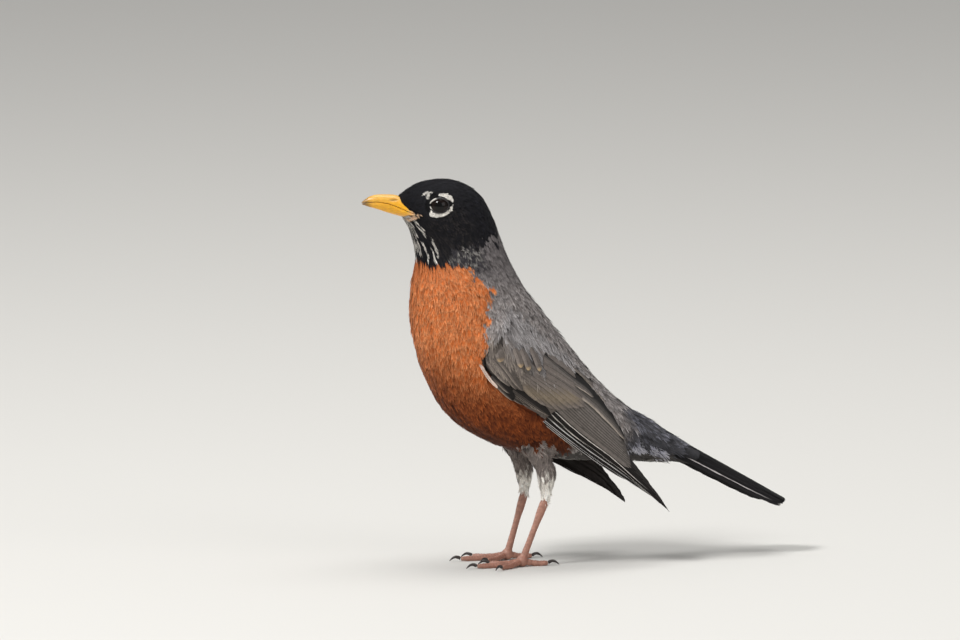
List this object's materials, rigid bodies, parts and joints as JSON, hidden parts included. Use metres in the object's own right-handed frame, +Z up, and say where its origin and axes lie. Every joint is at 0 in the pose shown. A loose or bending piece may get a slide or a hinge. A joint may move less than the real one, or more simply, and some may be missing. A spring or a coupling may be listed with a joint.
{
  "type": "american robin model",
  "caption": "Life-size museum model of a perching thrush standing upright on both feet, head turned a little, wings drooped beside a long folded tail; it rests on its toes.",
  "frame": {"origin": "on the floor, at the middle of the bottom of the whole bird's bounding box", "axes": "the bird faces -X with its tail towards +X, its left side is -Y and its right side +Y, +Z is up"},
  "size_m": [0.2044, 0.0694, 0.1783],
  "materials": {
    "black_feathers": "close matt feathers, near black with a faint cool sheen",
    "grey_feathers": "matt brownish grey feathers with soft paler edges",
    "rufous_feathers": "soft matt brick orange feathers, a little paler at their tips",
    "flight_feathers": "firm satin flight feathers, dark brown grey with narrow pale edges",
    "pale_feathers": "short fluffy grey feathers, whitish at the ankle",
    "bill": "satin horn, yellow orange, darker at the tip",
    "leg_scales": "smooth horny scales, pinkish brown",
    "claw": "glossy dark brown horn",
    "eye": "wet and clear over a very dark brown iris"
  },
  "bodies": {
    "root": {"head": "black_feathers", "neck": "grey_feathers", "trunk": "rufous_feathers", "tail_coverts": "grey_feathers", "tail": "flight_feathers", "bill_upper": "bill", "bill_lower": "bill", "eye_left": "eye", "wing_left_coverts": "grey_feathers", "wing_left_secondaries": "flight_feathers", "wing_left_primaries": "flight_feathers", "shin_left": "pale_feathers", "tarsus_left": "leg_scales", "toe_left_inner": "leg_scales", "claw_left_inner": "claw", "toe_left_middle": "leg_scales", "claw_left_middle": "claw", "toe_left_outer": "leg_scales", "claw_left_outer": "claw", "toe_left_hind": "leg_scales", "claw_left_hind": "claw", "eye_right": "eye", "wing_right_coverts": "grey_feathers", "wing_right_secondaries": "flight_feathers", "wing_right_primaries": "flight_feathers", "shin_right": "pale_feathers", "tarsus_right": "leg_scales", "toe_right_inner": "leg_scales", "claw_right_inner": "claw", "toe_right_middle": "leg_scales", "claw_right_middle": "claw", "toe_right_outer": "leg_scales", "claw_right_outer": "claw", "toe_right_hind": "leg_scales", "claw_right_hind": "claw"}
  },
  "joints": []
}
